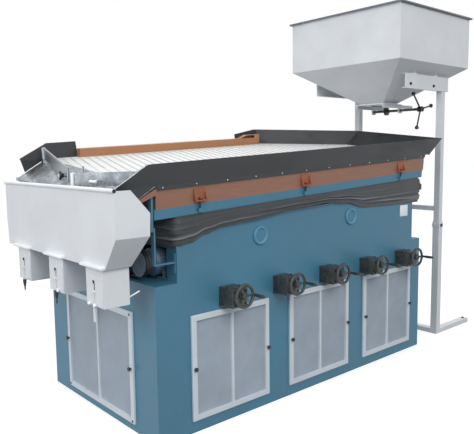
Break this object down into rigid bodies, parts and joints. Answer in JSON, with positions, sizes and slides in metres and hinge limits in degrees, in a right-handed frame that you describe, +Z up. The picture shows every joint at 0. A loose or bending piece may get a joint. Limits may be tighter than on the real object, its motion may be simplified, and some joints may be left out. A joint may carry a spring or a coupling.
{
  "type": "specific gravity separator",
  "caption": "Air table that sorts seed by weight on a shaking tilted deck, with a fan cabinet, air handwheels, feed hopper on a stand and a spouted discharge hopper.",
  "frame": {"origin": "centre of the cabinet's footprint on the floor", "axes": "+Z up, -Y the front with the air handwheels, -X the discharge end, +X the feed end"},
  "size_m": [3.8404, 1.6431, 2.748],
  "materials": {
    "teal_paint": "hammered blue-green machine enamel",
    "light_paint": "light grey satin paint",
    "brown_paint": "reddish brown enamel",
    "dark_iron": "black painted castings",
    "bright_steel": "plain turned steel",
    "zinc_sheet": "galvanised sheet",
    "filter_cloth": "pale grey filter pad behind fine mesh",
    "black_plastic": "black moulded plastic",
    "wall_rubber": "matt black sheet rubber",
    "bellows_cloth": "dark grey coated cloth",
    "belt_rubber": "belt rubber",
    "motor_paint": "blue-grey motor enamel",
    "deck_sheet": "pale deck sheet with low strips"
  },
  "bodies": {
    "machine": {"lower_cabinet": "teal_paint", "upper_plenum": "teal_paint", "port_covers": "teal_paint", "rear_access_covers": "teal_paint", "filter_frame_1": "light_paint", "filter_frame_2": "light_paint", "filter_frame_3": "light_paint", "filter_frame_end": "light_paint", "filter_media": "filter_cloth", "filter_knobs": "black_plastic", "air_gearboxes": "dark_iron", "fan_casings": "zinc_sheet", "fan_bearings": "dark_iron", "fan_motor": "motor_paint", "fan_belt": "belt_rubber", "shaker_motor": "motor_paint", "shaker_belt": "belt_rubber", "shaker_bearings": "dark_iron", "leg_brackets": "teal_paint", "bellows": "bellows_cloth", "discharge_hopper": "light_paint", "feed_hopper": "light_paint", "feed_gate_rails": "light_paint", "feed_stand": "light_paint"},
    "deck": {"deck_frame": "brown_paint", "deck_subframe": "teal_paint", "deck_screen": "deck_sheet", "deck_walls": "wall_rubber", "deck_clamps": "brown_paint", "discharge_apron": "zinc_sheet"},
    "leg_front_outer": {"leg_front_outer": "teal_paint"},
    "leg_rear_outer": {"leg_rear_outer": "teal_paint"},
    "leg_front_inner": {"leg_front_inner": "teal_paint"},
    "leg_rear_inner": {"leg_rear_inner": "teal_paint"},
    "connecting_rod": {"connecting_rod": "bright_steel"},
    "eccentric": {"eccentric_shaft": "bright_steel", "flywheel_pulley": "dark_iron"},
    "shaker_motor_rotor": {"shaker_motor_pulley": "motor_paint"},
    "fan_rotor": {"fan_shaft": "bright_steel", "fan_impellers": "zinc_sheet", "fan_pulley": "dark_iron"},
    "fan_motor_rotor": {"fan_motor_pulley": "dark_iron"},
    "handwheel_1": {"handwheel_1": "dark_iron"},
    "damper_1": {"damper_1": "zinc_sheet"},
    "handwheel_2": {"handwheel_2": "dark_iron"},
    "damper_2": {"damper_2": "zinc_sheet"},
    "handwheel_3": {"handwheel_3": "dark_iron"},
    "damper_3": {"damper_3": "zinc_sheet"},
    "handwheel_4": {"handwheel_4": "dark_iron"},
    "damper_4": {"damper_4": "zinc_sheet"},
    "handwheel_5": {"handwheel_5": "dark_iron"},
    "damper_5": {"damper_5": "zinc_sheet"},
    "rear_blade": {"gate_blade_rear": "bright_steel"},
    "front_blade": {"gate_blade_front": "zinc_sheet"},
    "blade_lock": {"blade_lock_knob": "black_plastic"},
    "outlet_gate_1": {"outlet_gate_1": "light_paint"},
    "outlet_gate_2": {"outlet_gate_2": "light_paint"},
    "outlet_gate_3": {"outlet_gate_3": "light_paint"},
    "feed_gate": {"feed_gate": "bright_steel"},
    "feed_handle": {"feed_handle": "dark_iron"}
  },
  "joints": [
    {"name": "deck_shake", "type": "slide", "parent": "machine", "child": "deck", "axis": [-0.0054, 0.9945, 0.1044], "range_m": [-0.004, 0.004]},
    {"name": "leg_front_outer_rock", "type": "hinge", "parent": "machine", "child": "leg_front_outer", "pos_m": [-1.29953, -0.63848, 1.22072], "axis": [0.9987, 0, 0.0515], "range_deg": [-1.4, 1.4]},
    {"name": "leg_rear_outer_rock", "type": "hinge", "parent": "machine", "child": "leg_rear_outer", "pos_m": [-1.30638, 0.62854, 1.35371], "axis": [0.9987, 0, 0.0515], "range_deg": [-1.4, 1.4]},
    {"name": "leg_front_inner_rock", "type": "hinge", "parent": "machine", "child": "leg_front_inner", "pos_m": [1.11742, -0.51728, 1.18686], "axis": [0.9987, 0, 0.0515], "range_deg": [-1.4, 1.4]},
    {"name": "leg_rear_inner_rock", "type": "hinge", "parent": "machine", "child": "leg_rear_inner", "pos_m": [1.11136, 0.60255, 1.30441], "axis": [0.9987, 0, 0.0515], "range_deg": [-1.4, 1.4]},
    {"name": "connecting_rod_swing", "type": "hinge", "parent": "deck", "child": "connecting_rod", "pos_m": [-1.20961, 0.29836, 1.05132], "axis": [1, 0, 0], "range_deg": [-0.7, 0.7]},
    {"name": "eccentric_turn", "type": "hinge", "parent": "machine", "child": "eccentric", "pos_m": [-1.208, 0, 1.02], "axis": [1, 0, 0], "continuous": true},
    {"name": "shaker_motor_turn", "type": "hinge", "parent": "machine", "child": "shaker_motor_rotor", "pos_m": [-1.254, -0.455, 1.012], "axis": [1, 0, 0], "continuous": true},
    {"name": "fan_turn", "type": "hinge", "parent": "machine", "child": "fan_rotor", "pos_m": [-1.15, -0.14, 0.38], "axis": [1, 0, 0], "continuous": true},
    {"name": "fan_motor_turn", "type": "hinge", "parent": "machine", "child": "fan_motor_rotor", "pos_m": [-1.15, 0.39, 0.25], "axis": [1, 0, 0], "continuous": true},
    {"name": "air_wheel_1", "type": "hinge", "parent": "machine", "child": "handwheel_1", "pos_m": [-0.791, -0.825, 0.8045], "axis": [0, 1, 0], "range_deg": [0, 320]},
    {"name": "air_damper_1", "type": "hinge", "parent": "machine", "child": "damper_1", "pos_m": [-0.791, -0.14, 0.78], "axis": [0, 1, 0], "range_deg": [0, 80.5]},
    {"name": "air_wheel_2", "type": "hinge", "parent": "machine", "child": "handwheel_2", "pos_m": [-0.341, -0.825, 0.8045], "axis": [0, 1, 0], "range_deg": [0, 320]},
    {"name": "air_damper_2", "type": "hinge", "parent": "machine", "child": "damper_2", "pos_m": [-0.341, -0.14, 0.78], "axis": [0, 1, 0], "range_deg": [0, 80.5]},
    {"name": "air_wheel_3", "type": "hinge", "parent": "machine", "child": "handwheel_3", "pos_m": [0.109, -0.825, 0.8045], "axis": [0, 1, 0], "range_deg": [0, 320]},
    {"name": "air_damper_3", "type": "hinge", "parent": "machine", "child": "damper_3", "pos_m": [0.109, -0.14, 0.78], "axis": [0, 1, 0], "range_deg": [0, 80.5]},
    {"name": "air_wheel_4", "type": "hinge", "parent": "machine", "child": "handwheel_4", "pos_m": [0.559, -0.825, 0.8045], "axis": [0, 1, 0], "range_deg": [0, 320]},
    {"name": "air_damper_4", "type": "hinge", "parent": "machine", "child": "damper_4", "pos_m": [0.559, -0.14, 0.78], "axis": [0, 1, 0], "range_deg": [0, 80.5]},
    {"name": "air_wheel_5", "type": "hinge", "parent": "machine", "child": "handwheel_5", "pos_m": [1.009, -0.825, 0.8045], "axis": [0, 1, 0], "range_deg": [0, 320]},
    {"name": "air_damper_5", "type": "hinge", "parent": "machine", "child": "damper_5", "pos_m": [1.009, -0.14, 0.78], "axis": [0, 1, 0], "range_deg": [0, 80.5]},
    {"name": "rear_blade_swing", "type": "hinge", "parent": "deck", "child": "rear_blade", "pos_m": [-1.33115, 0.63356, 1.63991], "axis": [-0.0512, -0.1045, 0.9932], "range_deg": [-6, 4]},
    {"name": "front_blade_swing", "type": "hinge", "parent": "deck", "child": "front_blade", "pos_m": [-1.34212, -0.66031, 1.50317], "axis": [-0.0512, -0.1045, 0.9932], "range_deg": [-16, 1]},
    {"name": "blade_lock_turn", "type": "hinge", "parent": "rear_blade", "child": "blade_lock", "pos_m": [-1.49807, -0.02193, 1.514], "axis": [-0.9719, 0.2341, -0.0254], "range_deg": [-180, 180]},
    {"name": "outlet_gate_1_lift", "type": "slide", "parent": "machine", "child": "outlet_gate_1", "axis": [0, 0, 1], "range_m": [0, 0.05]},
    {"name": "outlet_gate_2_lift", "type": "slide", "parent": "machine", "child": "outlet_gate_2", "axis": [0, 0, 1], "range_m": [0, 0.05]},
    {"name": "outlet_gate_3_lift", "type": "slide", "parent": "machine", "child": "outlet_gate_3", "axis": [0, 0, 1], "range_m": [0, 0.05]},
    {"name": "feed_handle_turn", "type": "hinge", "parent": "machine", "child": "feed_handle", "pos_m": [1.534, -0.157, 1.9796], "axis": [0, 1, 0], "range_deg": [0, 322]},
    {"name": "feed_gate_slide", "type": "slide", "parent": "machine", "child": "feed_gate", "axis": [1, 0, 0], "range_m": [0, 0.1802]}
  ],
  "couplings": [
    {"joint": "leg_front_outer_rock", "follows": "deck_shake", "rad_per_m": -5},
    {"joint": "leg_rear_outer_rock", "follows": "deck_shake", "rad_per_m": -5},
    {"joint": "leg_front_inner_rock", "follows": "deck_shake", "rad_per_m": -5},
    {"joint": "leg_rear_inner_rock", "follows": "deck_shake", "rad_per_m": -5},
    {"joint": "shaker_motor_turn", "follows": "eccentric_turn", "ratio": 1.4286},
    {"joint": "fan_motor_turn", "follows": "fan_turn", "ratio": 1.3889},
    {"joint": "air_damper_1", "follows": "air_wheel_1", "ratio": 0.25},
    {"joint": "air_damper_2", "follows": "air_wheel_2", "ratio": 0.25},
    {"joint": "air_damper_3", "follows": "air_wheel_3", "ratio": 0.25},
    {"joint": "air_damper_4", "follows": "air_wheel_4", "ratio": 0.25},
    {"joint": "air_damper_5", "follows": "air_wheel_5", "ratio": 0.25},
    {"joint": "feed_gate_slide", "follows": "feed_handle_turn", "m_per_rad": 0.032}
  ]
}
